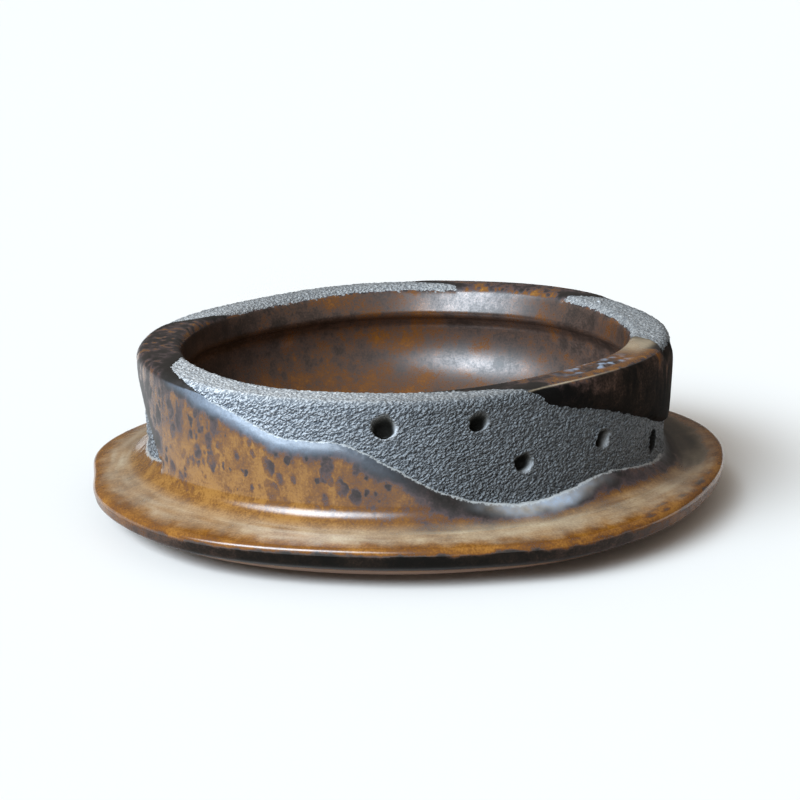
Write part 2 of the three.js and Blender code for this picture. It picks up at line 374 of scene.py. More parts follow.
# wall ring: turned section with the glaze rolling over into the torn bands
wallShape = {"seat": 84.2, "seatTop": 14.8, "foot": 12.9, "floor": 13, "floorEnd": 46.9, "bowlRound": 23.8,
             "lipUnder": (68.95, 40.17), "lipBack": (70.5, 37.8), "lipTurn": (70.7, 43.2),
             "skirt": 86, "skirtLift": 0.02, "brimFall": 0.202, "thumb": 0.0012, "crisp": 0.8,
             "mattOver": 0.6}
tornRoll = {"slopeLow": 0.5, "rollLow": 2.9, "softness": 0.8, "dropRim": 0.3, "dropHigh": 0.35,
            "rollHigh": 1.2, "under": 2.6, "step": 1, "deep": 5.6, "ragged": 0.35, "fineBand": 1.7}
fillet = {"radius": 86.345, "height": 21.728, "round": 7, "wallRadius": 79.354, "wallHeight": 22.077,
          "sweep": 81.44}
crinklePatch = {"turn": 318, "reach": 16, "relief": 0.5, "coarse": 2.1, "fine": 0.9}


def brimHeight(radius):
    return handWork["shoulder"] - (radius - handWork["seat"]) * wallShape["brimFall"]


def turnWall():
    shape = wallShape
    lift, skirt, seat, floorEnd = [shape[key] for key in ("skirtLift", "skirt", "seat", "floorEnd")]
    wall = drawLine("wallRing", (skirt, brimHeight(skirt) + lift), [
        ("line", skirt, brimHeight(skirt) - 0.2, 1),
        ("line", seat, shape["seatTop"], 1),
        ("line", seat, shape["foot"], 1),
        ("line", floorEnd, shape["foot"], 1),
        ("line", floorEnd, shape["floor"] + lift, 1),
        ("arc", floorEnd, shape["floor"] + shape["bowlRound"] + lift, 90, 26),  # bowl
        ("line", *shape["lipBack"], 1),
        ("line", *shape["lipUnder"], 3),  # in under the lip
        ("arc", *shape["lipTurn"], -60, 7),
        ("line", mouthRadius - mouthRound, mouthHeight, 5),  # lip face
        ("arc", mouthRadius, mouthHeight, -90, 8),  # mouth edge
        ("line", edgeRadius, edgeHeight + edgeRound, 9),  # rim top
        ("arc", edgeRadius, edgeHeight, -90, 9),  # outer edge
        ("line", fillet["wallRadius"], fillet["wallHeight"], 28),  # wall
        ("arc", fillet["radius"], fillet["height"] + lift, fillet["sweep"], 20),  # fillet into the brim
        ("line", skirt, brimHeight(skirt) + lift, 2)])
    turnOnWheel(wall)
    return wall


def rollOver(run, inside, upper):
    # how deep the wall's skin sinks as it rolls over into a torn band
    roll = tornRoll
    outside = np.clip(inside, -20, 0)
    soft = roll["softness"]
    slope = roll["slopeLow"] * np.log1p(np.exp((outside + roll["rollLow"]) / soft)) * soft
    level = ease(31, 38, run)                 # hardly any drop where the band lies on the rim
    gentle = roll["dropRim"] * np.exp(outside / roll["rollHigh"])
    steep = roll["dropHigh"] * np.exp(outside / roll["rollHigh"])
    drop = np.where(upper, steep, slope + (gentle - slope) * level)
    depth = drop + (roll["under"] - drop) * ease(0, roll["step"], inside)
    depth += (roll["deep"] - roll["under"]) * ease(roll["step"], 3, inside)
    return np.where(run < skin["reach"], depth, 0)


def makeWall():
    wall = turnWall()
    centres = centresOf(wall.data)
    run = runFrom(radiusOf(centres), centres[:, 2])
    inside = tornEdge(centres, run)[0]
    pickFaces(wall, (np.abs(inside) < tornRoll["fineBand"]) | (crinkle(centres, run) > 0.05))
    bpy.ops.mesh.subdivide(number_cuts=2)
    leaveEdit()

    points = pointsOf(wall.data)
    radius = radiusOf(points)
    run = runFrom(radius, points[:, 2])
    inside, upper = tornEdge(points, run)
    inside = inside + tornRoll["ragged"] * (roughly(points, 4) + 0.5 * roughly(points, 1.4))
    blister = roughly(points, crinklePatch["coarse"]) + 0.4 * roughly(points + 40, crinklePatch["fine"])
    depth = rollOver(run, inside, upper) - crinklePatch["relief"] * crinkle(points, run) * blister
    shift = np.where(run < skin["reach"], np.array(atDepth(run, depth)) - atDepth(run, 0 * run), 0)
    points[:, :2] *= ((radius + shift[0]) / radius)[:, None]
    points[:, 2] += shift[1]
    points[:, :2] *= (1 + wallShape["thumb"] * roughly(points, 16) * (radius > 60))[:, None]  # thumb marks

    # the outer edge is squarer on the front right
    crisp = wallShape["crisp"] * near(turnOf(points), 312, 28) * (run > edgeStart) * (run < edgeEnd)
    lean = np.clip((run - edgeStart) / (edgeEnd - edgeStart), 0, 1) * math.pi / 2
    wider = edgeRound * crisp * (np.sqrt(np.cos(lean)) - np.cos(lean))
    points[:, :2] *= (1 + wider / radius)[:, None]
    points[:, 2] += edgeRound * crisp * (np.sqrt(np.sin(lean)) - np.sin(lean))
    paintGlaze(wall.data, points, run, inside, upper)
    setPoints(wall.data, byHand(points))
    return wall


def crinkle(points, run):
    # glaze that boiled and crinkled on the right of the rim
    patch = near(turnOf(points), crinklePatch["turn"], crinklePatch["reach"])
    return patch * ease(38, 40, run) * (1 - ease(44, 47, run))


# marks in the glaze, painted shade and painted highlights: strength, then angle round the pot and reach
# either side in degrees
glazeMarks = {"cleanFoot": (1, 193, 34), "faintEdge": (0.5, 330, 24), "darkRim": (0.3, 180, 45),
              "rimFlecks": (1, 180, 45), "paleRim": (0.2, 325, 40), "shade": (1, 340, 75),
              "streaks": (0.35, 352, 30), "amberTop": (0.4, 340, 22), "bowlLeft": (0.22, 170, 80),
              "bowlRight": (0.1, 35, 50), "bowlBack": (0.2, 135, 40), "frontWall": (0.21, 286, 38),
              "ochreWall": (1, 232, 34), "leftEnd": (0.2, 194, 26), "leftWall": (0.06, 214, 24),
              "lee": (1, 12, 40), "lipRight": (0.65, 335, 62), "lipLeft": (0.7, 203, 50),
              "blotches": (1, 325, 55), "frontBrim": (0.16, 268, 45), "beige": (1, 341, 13),
              "frost": (1, 300, 21), "bloom": (1, 236, 40), "worn": (1, 304, 21),
              "calmRim": (1, 325, 45), "plainEdge": (0.6, 358, 24)}


def paintGlaze(mesh, points, run, inside, upper):
    # where the glaze pooled thick and dark, ran thin and pale, went matt or was wiped off, and where painted
    # shade, sheen and highlights lie
    turn = turnOf(points)
    mark = marksAt(glazeMarks, turn)
    radius = radiusOf(points)
    height = points[:, 2]
    uneven = 1.6 * roughly(points, 5) + 1.2 * roughly(points, 2.2)
    onSkin = run < skin["reach"]
    onBrim = (height > 10) & (height < 17)
    bowl = (run > 49) & (radius < 75)
    upWall = ease(8, 24, run)
    upBowl = ease(20, 32, height)
    edgeTop = 0.35 * edgeStart + 0.65 * edgeEnd
    crinkled = crinkle(points, run)

    # thick and dark: along the torn edge, on the rim, in the bowl and below the brim; dark glaze with painted
    # shade on the shaded side, painted shade on the wall and a painted shadow on the brim behind the wall
    atEdge = ease(-7.5, -2, inside + uneven) * onSkin * (1 - ease(80.5, 84, radius))
    atEdge *= 1 - ease(0.1, 0.5, mark["cleanFoot"]) * (1 - ease(7, 14, run))
    atEdge *= 1 - mark["faintEdge"] * (run < 20) - 0.65 * ease(46.5, 49.5, run)
    rim = ease(28, 35, run + uneven) * (1 - ease(46, 50, run))
    flecks = mark["rimFlecks"] * np.clip(2.4 * roughly(points, 2.4) - 0.1, 0, 1)
    rimDark = 0.38 + mark["darkRim"] - 0.62 * flecks - mark["paleRim"]
    # dark glaze with painted shade on the side turned from the light
    shadeSide = mark["shade"] * ease(3, 12, run + uneven) * (run < edgeTop)
    streak = np.clip(1.5 * roughly(points * (1, 1, 0.15), 2.2), 0, 1)
    amber = 0.9 - (0.35 + mark["streaks"]) * streak * ease(16, 28, run)
    amber -= mark["amberTop"] * ease(25, 35, run + 1.5 * uneven)
    bowlDark = 0.4 + mark["bowlLeft"] * upBowl + mark["bowlRight"] - mark["bowlBack"] * (1 - upBowl)
    # painted shade towards the front right and at the left end, painted light low on the left, a little
    # darker high on the left
    wallDark = mark["frontWall"] + mark["ochreWall"] * (0.13 * upWall - 0.1)
    wallDark += (mark["leftEnd"] + mark["leftWall"]) * upWall
    # painted shadow of the wall on the right of the brim
    lee = mark["lee"] * ease(79, 83, radius) * (1 - ease(88, 93, radius + 0.5 * uneven)) * onBrim
    lipBand = (radius > 92) * (1 - ease(10.2, 11.9, height + 0.6 * uneven))
    lipDark = 0.95 - mark["lipRight"] - mark["lipLeft"]
    alongBead = np.column_stack((np.radians(turn) * 22, radius, height))       # drawn out along the bead
    blotch = mark["blotches"] * ease(90.5, 92.5, radius) * np.clip(2.6 * roughly(alongBead, 1.4) - 0.1, 0, 1)
    paint(mesh, "glazeDark", np.maximum.reduce([
        0.15 + wallDark * onSkin, 0.52 * blotch * (height > 10), lee, 0.85 * atEdge, rimDark * rim,
        shadeSide * amber, bowlDark * bowl, lipDark * lipBand, 0.6 * crinkled]))

    # thin and pale: rings on the brim under a painted sheen that is strongest at the front, the right of the
    # rim, a painted highlight along the crisp edge, and a painted highlight under the torn edge
    brim = ease(81, 86, radius) * (1 - ease(88.5, 94.5, radius + 1.2 * uneven)) * onBrim
    brim *= (1 - 0.85 * lee) * (1 - ease(93.5, 95, radius))
    alongWheel = np.column_stack((points[:, :2] / radius[:, None] * 12, radius))      # drawn out by the wheel
    rings = roughly(alongWheel, 1.7)
    beige = mark["beige"] * ease(37.5, 41.5, run) * (run < 50)
    # painted highlight along the crisp outer edge of the rim
    worn = mark["worn"] * np.exp(-((run - edgeTop) / 0.25) ** 2)
    # painted highlight on the fillet below the torn edge at the front right
    frost = mark["frost"] * ease(-3.6, -0.9, inside + 0.25 * uneven) * (inside < 0.2) * (run < 14)
    frost *= 1 - ease(82.5, 86, radius)
    paint(mesh, "glazePale", np.maximum.reduce([
        brim * (0.72 + mark["frontBrim"] + 0.45 * rings), beige, worn, 0.85 * frost]))

    # blue-white: a painted highlight and a painted sheen below the torn edge, and painted glints on the
    # crinkled patch
    # painted sheen: the window's reflection in the glaze below the torn edge
    bloom = mark["bloom"] * ease(-5.6, -1.8, inside + 0.4 * uneven) * (inside < 0.2)
    bloom *= (run > 8) * (run < 34) * ~upper
    # painted glints on the crinkled glaze
    paintedCrinkleGlints = 0.85 * crinkled * np.clip(2.5 * roughly(points, crinklePatch["coarse"]), 0, 1)
    white = np.maximum.reduce([frost * (0.72 + 0.3 * uneven), 0.56 * bloom, paintedCrinkleGlints])
    paint(mesh, "glazeFrost", np.clip(white, 0, 0.95))

    # matt on the shaded side, calm with few spots in the bowl, on the brim and on the right
    paint(mesh, "glazeMatt", ease(0.12, 0.5, shadeSide))
    calmRim = mark["calmRim"] * ease(36, 38, run) * (run < 50)
    calmBrim = ease(81, 88, radius) * (height < 17)
    paint(mesh, "glazeCalm", np.maximum.reduce([bowl, calmBrim, calmRim, ease(0.3, 0.8, shadeSide)]))
    # distance to the lower torn edge, where a painted highlight runs along it
    nearTorn = np.clip(inside, -20, 5) - 0.25 * ease(315, 335, turn) - mark["plainEdge"]
    paint(mesh, "tornEdge", np.where(upper | (run > 33), -20, nearTorn))
    paint(mesh, "bareClay", 1 - ease(5, 6, height))


# torn panels: a sheet laid in the recess, subdivided on its face and roughened
panelShape = {"recess": 1.75, "rimRecess": 0.35, "thickness": 4, "margin": 1.2, "cuts": 9}
pitShape = {"depth": 3.7, "burr": 0.3, "radius": 2.9, "uneven": 0.25, "mattOver": 0.35}
pitMarks = {"palest": (0.68, 262, 22), "last": (1, 337, 10)}
grains = {"clayGrains": ("VORONOI", 1.1, -0.5), "clayCrumbs": ("CLOUDS", 0.6, 0.4),
          "clayLumps": ("CLOUDS", 3.5, 0.5)}    # kind, size and height in mm


def pokePits(pits, turn, run):
    # how deep the pits go, how smooth they are, the painted shade in them, and a painted glint on their lower
    # right sides
    shape = pitShape
    deep, paintedGlint = np.zeros((2, len(run)))
    coarse, shade = np.ones((2, len(run)))
    for pitTurn, pitShare, pitRound in pits:
        aside = np.radians(turn - pitTurn) * wallArm
        above = run - runOf(pitShare)
        uneven = roughly(np.column_stack((aside + 10 * pitTurn, above, 0 * above)), 2.6)
        off = np.hypot(aside, above) / pitRound * (1 + shape["uneven"] * uneven)
        lit = np.clip((aside - above) / pitRound / 1.2, 0, 1)   # poked aslant: the lower right side slopes
        hole = np.clip(1 - off ** (4.5 - 2.5 * lit), 0, 1)
        deep += shape["depth"] * min(1, pitRound / shape["radius"]) * hole
        deep -= shape["burr"] * np.exp(-((off - 1.12) / 0.16) ** 2)
        coarse *= ease(0.8, 1.15, off)
        mark = marksAt(pitMarks, pitTurn)
        last = mark["last"]                                     # turned from the light: painted shade reaches its edge, and it gets no painted glint
        # painted shade, darkest on the upper left side, away from the light
        shade *= 0.04 + 0.96 * ease(0.8, 1.05, off * (1 - 0.15 * last) + 0.2 * lit * (1 - last))
        # painted glint on the lower right side, which faces the light
        pale = 0.32 + mark["palest"] - 0.32 * last
        paintedGlint += 1.5 * np.exp(-((off - 0.9) / 0.17) ** 2) * lit ** 2 * pale
    return deep, coarse, shade, paintedGlint


def makePanel(name):
    zone = tornZones[name]
    shape = panelShape
    clearSelection()
    bpy.ops.mesh.primitive_grid_add(x_subdivisions=zone["columns"], y_subdivisions=zone["rows"], size=1)
    panel = bpy.context.object
    first, *others = name.split("_")
    panel.name = panel.data.name = first + "".join(word.capitalize() for word in others)
    applyModifier(panel, "slab", "SOLIDIFY", thickness=1, offset=-1)
    normals = np.array([face.normal.z for face in panel.data.polygons])
    pickFaces(panel, normals > 0.5)
    bpy.ops.mesh.subdivide(number_cuts=shape["cuts"])
    leaveEdit()

    # the flat grid is laid round the wall between the outlines, with a margin under the glaze
    across, along, back = (pointsOf(panel.data) * mm + (0.5, 0.5, 0)).T
    onFace = back > -0.5
    ends = math.degrees(shape["margin"] / wallArm)
    turn = zone["turns"][0] - ends + across * (zone["turns"][-1] - zone["turns"][0] + 2 * ends)
    low, lowStretch, high, highStretch = edgesAt(zone, turn)
    low = low - shape["margin"] * lowStretch
    high = high + shape["margin"] * highStretch
    run = low + along * (high - low)
    deep, coarse, shade, paintedGlint = pokePits(zone["pits"], turn, run)
    coarse *= 1 - 0.4 * ease(34, 38, run)     # the rim and the poked pits are smoother than the torn face
    recess = shape["recess"] + (shape["rimRecess"] - shape["recess"]) * ease(31, 38, run)
    radius, height = atDepth(run, recess + np.where(onFace, deep, shape["thickness"]))
    below = np.clip(fillet["height"] - skin["shoulder"] - run, 0, fillet["round"])
    radius += fillet["round"] - np.sqrt(fillet["round"] ** 2 - below ** 2)  # the panel follows the fillet out
    points = np.stack((radius * np.cos(np.radians(turn)), radius * np.sin(np.radians(turn)), height), 1)
    setPoints(panel.data, byHand(points))
    # painted light: the clay is paler on the side towards the window and on the rim top, with painted shade
    # at the back band's left end, and darkened by the painted shade in the pits
    paintedLight = near(turn, 205, 90) - zone["lee"] * near(turn, 196, 26)
    paint(panel.data, "clayLight", np.clip(paintedLight + 0.5 * ease(34, 40, run), 0.06, 1) * shade)
    # painted glint on the pits' lower right sides
    paint(panel.data, "claySmear", np.clip(paintedGlint, 0, 0.9))
    paint(panel.data, "clayRubbed", 1 - coarse)
    # painted shade in the pits
    paint(panel.data, "clayDeep", 0.9 * (1 - shade))

    # roughened on its face only, and not along the hidden edge
    face = panel.vertex_groups.new(name="face")
    edgeFade = ease(0, 0.01, along) * ease(0, 0.01, 1 - along)
    edgeFade *= ease(0, 0.002, across) * ease(0, 0.002, 1 - across)
    for i in np.nonzero(onFace & (edgeFade > 0))[0]:
        face.add([int(i)], 0.25 + 0.75 * coarse[i], "REPLACE")
    editAll(panel)
    bpy.ops.mesh.normals_make_consistent(inside=False)
    leaveEdit()
    for grain, (kind, size, height) in grains.items():
        texture = bpy.data.textures.get(grain) or bpy.data.textures.new(grain, kind)
        texture.noise_scale = size * mm
        applyModifier(panel, grain, "DISPLACE", texture=texture, texture_coords="LOCAL", vertex_group="face",
                      mid_level=0.5, strength=height * mm)
    return panel


# base slab: floor with drain hole, wide brim and undercut lip
slabShape = {"drainRadius": 11, "drainRound": 1, "bottom": 4, "floor": 13, "brimTop": 15, "wallFoot": 80,
             "undercut": 88.5, "lipUnder": (94.2, 7), "lipTurn": (93.19, 8.75), "lipFace": (95.67, 10.6),
             "lipEdge": (93.67, 10.85), "wireHole": 3, "wireAt": 38, "mattBelow": 10.8}


def makeSlab():
    shape = slabShape
    bottom, floor, hole, edge = [shape[key] for key in ("bottom", "floor", "drainRadius", "drainRound")]
    slab = drawLine("baseSlab", (hole + edge, bottom), [
        ("line", shape["wallFoot"], bottom, 3),
        ("line", shape["undercut"], bottom, 8),
        ("line", *shape["lipUnder"], 5),
        ("arc", *shape["lipTurn"], 53, 7),  # underside of the lip
        ("line", *shape["lipFace"], 3),
        ("arc", *shape["lipEdge"], 86, 12),  # lip edge
        ("line", handWork["seat"], shape["brimTop"], 14),  # brim
        ("line", handWork["seat"], floor, 1),
        ("line", hole + edge, floor, 8),
        ("arc", hole + edge, floor - edge, 90, 5),
        ("line", hole, bottom + edge, 3),
        ("arc", hole + edge, bottom + edge, 90, 5)])
    turnOnWheel(slab)
    for side in (-1, 1):  # holes for the tie-down wire
        clearSelection()
        bpy.ops.mesh.primitive_cylinder_add(vertices=40, radius=shape["wireHole"] * mm, depth=0.03,
                                            location=(side * shape["wireAt"] * mm, 0, 0))
        drill = bpy.context.object
        applyModifier(slab, "wire hole", "BOOLEAN", operation="DIFFERENCE", solver="EXACT", object=drill)
        bpy.data.objects.remove(drill)
    points = pointsOf(slab.data)
    count = len(points)
    paintGlaze(slab.data, points, np.full(count, 99.0), np.full(count, -99.0), np.zeros(count, bool))
    setPoints(slab.data, byHand(points))
    return slab


# feet: low arcs of bare clay
footShape = {"inner": 62, "outer": 74, "top": 4.05, "taper": 0.8, "sweep": 52, "steps": 26, "round": 0.9}


def makeFoot(name, turn):
    shape = footShape
    start = math.radians(turn - shape["sweep"] / 2)
    foot = drawLine(name, (shape["inner"], 0), [
        ("line", shape["outer"], 0, 4),
        ("line", shape["outer"] - shape["taper"], shape["top"], 2),
        ("line", shape["inner"] + shape["taper"], shape["top"], 4),
        ("line", shape["inner"], 0, 2)])
    editAll(foot)
    bpy.ops.mesh.remove_doubles(threshold=weld)
    bpy.ops.mesh.edge_face_add()
    bpy.ops.transform.rotate(value=-start, orient_axis="Z", center_override=(0, 0, 0))  # turns the other way
    bpy.ops.mesh.spin(steps=shape["steps"], angle=math.radians(shape["sweep"]), center=(0, 0, 0),
                      axis=(0, 0, -1))
    bpy.ops.mesh.select_all(action="SELECT")
    bpy.ops.mesh.remove_doubles(threshold=weld)
    bpy.ops.mesh.fill_holes(sides=0)
    bpy.ops.mesh.normals_make_consistent(inside=False)
    leaveEdit()
    applyModifier(foot, "wiped edge", "BEVEL", width=shape["round"] * mm, segments=3, limit_method="ANGLE",
                  angle_limit=math.radians(40))
    return foot


# drain net and its clip
netShape = {"cells": 7, "pitch": 4, "bar": 1.2, "bottom": 13.3, "thickness": 1.2, "round": 0.25}


def makeNet():
    shape = netShape
    clearSelection()
    size = shape["cells"] * shape["pitch"] * mm
    bpy.ops.mesh.primitive_grid_add(x_subdivisions=shape["cells"], y_subdivisions=shape["cells"], size=size)
    net = bpy.context.object
    net.name = net.data.name = "drainNet"
    editAll(net, "FACE")
    bpy.ops.transform.translate(value=(0, 0, shape["bottom"] * mm))
    bpy.ops.mesh.inset(thickness=shape["bar"] / 2 * mm, use_individual=True)
    bpy.ops.mesh.delete(type="FACE")
    bpy.ops.mesh.select_all(action="SELECT")
    bpy.ops.mesh.normals_make_consistent(inside=False)
    leaveEdit()
    applyModifier(net, "strand", "SOLIDIFY", thickness=shape["thickness"] * mm, offset=1)
    applyModifier(net, "moulded edge", "BEVEL", width=shape["round"] * mm, segments=2, limit_method="ANGLE",
                  angle_limit=math.radians(50))
    return net


clipShape = {"leg": 8, "tail": 9, "bend": 1.6, "over": 15.5, "under": 3, "wire": 1.4}


def makeClip():
    shape = clipShape
    leg, bend, over, under = shape["leg"], shape["bend"], shape["over"], shape["under"]
    clip = drawLine("screenClip", (leg + shape["tail"], under), [
        ("line", leg + bend, under, 4),
        ("arc", leg + bend, under + bend, -90, 6),
        ("line", leg, over - bend, 6),
        ("arc", leg - bend, over - bend, 90, 6),
        ("line", bend - leg, over, 6),
        ("arc", bend - leg, over - bend, 90, 6),
        ("line", -leg, under + bend, 6),
        ("arc", -leg - bend, under + bend, -90, 6),
        ("line", -leg - shape["tail"], under, 4)])
    pickPiece(clip)
    bpy.ops.object.convert(target="CURVE")
    clip = bpy.context.object
    clip.data.bevel_depth = shape["wire"] / 2 * mm
    clip.data.bevel_resolution = 4
    clip.data.use_fill_caps = True
    bpy.ops.object.convert(target="MESH")
    return bpy.context.object


# materials, and the node settings that they share
times = {"operation": "MULTIPLY"}
plus = {"operation": "ADD"}
minus = {"operation": "SUBTRACT"}
timesPlus = {"operation": "MULTIPLY_ADD"}
larger = {"operation": "MAXIMUM"}
dot = {"operation": "DOT_PRODUCT"}
scaled = {"operation": "SCALE"}
soft = {"interpolation_type": "SMOOTHSTEP"}
blend = {"data_type": "RGBA"}
tinted = {"data_type": "RGBA", "blend_type": "MULTIPLY"}


def linear(code):
    parts = [int(code[i:i + 2], 16) / 255 for i in (1, 3, 5)]
    return [c / 12.92 if c <= 0.04045 else ((c + 0.055) / 1.055) ** 2.4 for c in parts] + [1]


def newMaterial(name):
    material = bpy.data.materials.new(name)
    material.use_nodes = True
    tree = material.node_tree
    return material, tree, tree.nodes["Principled BSDF"]


def setInputs(tree, node, **links):
    # values, sockets or nodes for inputs, by name or as in_0, in_1; a node gives its first live output
    for key, value in links.items():
        socket = node.inputs[int(key[3:]) if key.startswith("in_") else key.replace("_", " ")]
        if isinstance(value, bpy.types.Node):
            value = next(output for output in value.outputs if output.enabled)
        if isinstance(value, bpy.types.NodeSocket):
            tree.links.new(value, socket)
        else:
            socket.default_value = value


def addNode(tree, kind, settings={}, **links):
    # settings are the node's own properties
    node = tree.nodes.new("ShaderNode" + kind)
    for key, value in settings.items():
        if key != "stops":
            setattr(node, key, value)
            continue
        ramp = node.color_ramp.elements
        while len(ramp) < len(value):
            ramp.new(0.5)
        for stop, (place, colour) in zip(ramp, value):
            stop.position = place
            stop.color = linear(colour)
    setInputs(tree, node, **links)
    return node


def ironGlaze(name, shine):
    # iron glaze on stoneware, reduction fired: ochre where thin, near black where thick,
    # blotched and speckled, satin, with the painted shade, sheen and highlights laid on the mesh
    material, tree, shader = newMaterial(name)
    place = addNode(tree, "TexCoord").outputs["Object"]
    dark, pale, frost, matt, calm, torn, bare = [
        addNode(tree, "Attribute", {"attribute_name": layer}).outputs["Fac"] for layer in
        ("glazeDark", "glazePale", "glazeFrost", "glazeMatt", "glazeCalm", "tornEdge", "bareClay")]
    height = addNode(tree, "SeparateXYZ", Vector=place).outputs["Z"]

    # noises: wide clouds, runs from the rim, fine gold speckle
    cloud = addNode(tree, "TexNoise", Vector=place, Scale=1 / (9 * mm), Detail=5, Roughness=0.62)
    drawn = addNode(tree, "Mapping", Vector=place, Scale=(1, 1, 0.35))
    runs = addNode(tree, "TexNoise", Vector=drawn, Scale=1 / (3 * mm), Detail=4, Roughness=0.6)
    speck = addNode(tree, "TexNoise", Vector=place, Scale=1 / (0.6 * mm), Detail=2, Roughness=0.6)
    cloudShare = addNode(tree, "MapRange", Value=cloud, From_Min=0.3, From_Max=0.7, To_Min=-0.18, To_Max=0.18)
    runArea = addNode(tree, "MapRange", soft, Value=height, From_Min=23 * mm, From_Max=43 * mm)
    runShare = addNode(tree, "MapRange", soft, Value=runs, From_Min=0.46, From_Max=0.64, To_Max=0.36)
    runMarks = addNode(tree, "Math", times, in_0=runArea, in_1=runShare)
    speckShare = addNode(tree, "MapRange", Value=speck, From_Min=0.25, From_Max=0.75, To_Min=-0.14,
                         To_Max=0.14)

    # soft round spots of several sizes, a little longer than wide, in drifts
    wander = addNode(tree, "TexNoise", Vector=place, Scale=1 / (2 * mm), Detail=3)
    warped = addNode(tree, "VectorMath", timesPlus, in_0=wander.outputs["Color"],
                     in_1=(2.2 * mm, 2.2 * mm, 2.2 * mm), in_2=place)
    longer = addNode(tree, "Mapping", Vector=warped, Scale=(1, 1, 0.65))
    marks = runMarks
    drift = addNode(tree, "MapRange", soft, Value=cloud, From_Min=0.38, From_Max=0.54, To_Min=0.55, To_Max=1)
    for size, rare in ((4.1, 0), (2, 0.4)):
        cells = addNode(tree, "TexVoronoi", Vector=longer, Scale=1 / (size * mm))
        chance = addNode(tree, "SeparateColor", Color=cells.outputs["Color"])
        reach = addNode(tree, "MapRange", Value=chance, From_Min=rare, From_Max=1, To_Min=0, To_Max=0.68)
        spotDepth = addNode(tree, "Math", minus, in_0=reach, in_1=cells)
        spot = addNode(tree, "MapRange", soft, Value=spotDepth, From_Min=-0.04, From_Max=0.2, To_Max=0.44)
        drifted = addNode(tree, "Math", times, in_0=spot, in_1=drift)
        marks = addNode(tree, "Math", larger, in_0=marks, in_1=drifted)
    lively = addNode(tree, "MapRange", Value=calm, To_Min=1, To_Max=0.2)
    upWall = addNode(tree, "MapRange", soft, Value=height, From_Min=17 * mm, From_Max=26 * mm, To_Min=0.2,
                     To_Max=1)
    livelyUp = addNode(tree, "Math", times, in_0=lively, in_1=upWall)
    liveMarks = addNode(tree, "Math", times, in_0=marks, in_1=livelyUp)
    base = addNode(tree, "Math", plus, in_0=dark, in_1=cloudShare)
    withMarks = addNode(tree, "Math", plus, in_0=base, in_1=liveMarks)
    thick = addNode(tree, "Math", plus, in_0=withMarks, in_1=speckShare)
    colour = addNode(tree, "ValToRGB",
                     {"stops": [(0, "#9a6c30"), (0.18, "#7a4f1e"), (0.34, "#624027"), (0.48, "#4c3e3f"),
                                (0.6, "#372c2c"), (0.78, "#1e1817"), (1, "#0a0807")]}, Fac=thick)
    haze = addNode(tree, "MapRange", Value=cloud, From_Min=0.3, From_Max=0.65, To_Min=1, To_Max=0.6)
    grainy = addNode(tree, "MapRange", Value=speck, From_Min=0.3, From_Max=0.7, To_Min=1.1, To_Max=0.75)
    grainyHaze = addNode(tree, "Math", times, in_0=haze, in_1=grainy)
    # pale glaze and painted sheen
    hazeShare = addNode(tree, "Math", times, in_0=pale, in_1=grainyHaze)
    warm = addNode(tree, "Mix", tinted, in_0=calm, in_6=colour, in_7=(1.04, 0.93, 0.66, 1))
    hazed = addNode(tree, "Mix", blend, in_0=hazeShare, in_6=warm, in_7=linear("#c2ae90"))
    mottle = addNode(tree, "MapRange", Value=speck, From_Min=0.3, From_Max=0.7, To_Min=0.7, To_Max=1.1)
    # painted highlight, sheen and glints in blue-white
    highlightShare = addNode(tree, "Math", times, in_0=frost, in_1=mottle)
    highlighted = addNode(tree, "Mix", blend, in_0=highlightShare, in_6=hazed, in_7=linear("#a6b6ca"))
    # painted highlight along the lower torn edge, ragged
    ragged = addNode(tree, "MapRange", Value=speck, From_Min=0.3, From_Max=0.7, To_Min=-0.4, To_Max=0.35)
    tornHere = addNode(tree, "Math", plus, in_0=torn, in_1=ragged)
    line = addNode(tree, "MapRange", soft, Value=tornHere, From_Min=-0.4, From_Max=0, To_Max=0.7)
    withEdgeHighlight = addNode(tree, "Mix", blend, in_0=line, in_6=highlighted, in_7=linear("#c0c2c0"))
    clay = addNode(tree, "Mix", blend, in_0=bare, in_6=withEdgeHighlight, in_7=linear("#9a7d6c"))

    # thin glaze is glossier than thick; the shaded side fired matt
    rough = addNode(tree, "MapRange", Value=thick, From_Min=0.2, From_Max=0.6, To_Min=0.16, To_Max=0.42)
    roughMatt = addNode(tree, "Math", timesPlus, in_0=matt, in_1=0.5, in_2=rough)
    roughBare = addNode(tree, "Math", timesPlus, in_0=bare, in_1=0.5, in_2=roughMatt)
    peel = addNode(tree, "TexNoise", Vector=place, Scale=1 / (1.6 * mm), Detail=2)
    bump = addNode(tree, "Bump", Height=peel, Strength=0.12, Distance=0.12 * mm)
    setInputs(tree, shader, Base_Color=clay, Roughness=roughBare, Normal=bump, IOR=1.5,
              Specular_IOR_Level=shine)
    return material


